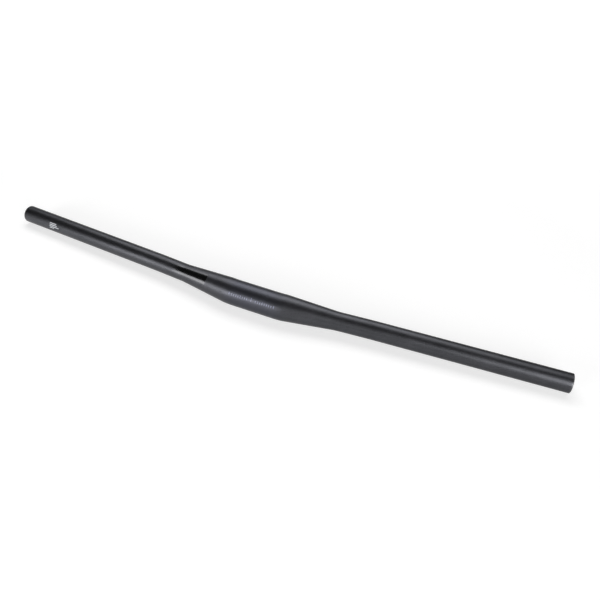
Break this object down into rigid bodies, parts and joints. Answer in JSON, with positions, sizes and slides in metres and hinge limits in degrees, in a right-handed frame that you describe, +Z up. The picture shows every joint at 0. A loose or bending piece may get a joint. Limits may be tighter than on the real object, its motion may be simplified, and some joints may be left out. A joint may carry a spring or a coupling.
{
  "type": "bicycle handlebar",
  "caption": "Flat bicycle handlebar: a butted alloy tube with a fat clamp zone, tapered shoulders, gently swept slim grip zones and open ends, in satin black.",
  "frame": {"origin": "middle of the clamp zone, on the axis that the stem clamps", "axes": "+X along the clamp axis towards the rider's left grip, +Y back towards the rider, +Z up as the bar lies on a table on its two shoulders and its two slim ends"},
  "size_m": [0.72, 0.0583, 0.0319],
  "materials": {
    "bar_black": "blasted and anodised satin black",
    "print_white": "thin pad-printed ink",
    "print_gloss": "thin gloss black ink"
  },
  "bodies": {
    "root": {"handlebar": "bar_black"}
  },
  "joints": []
}
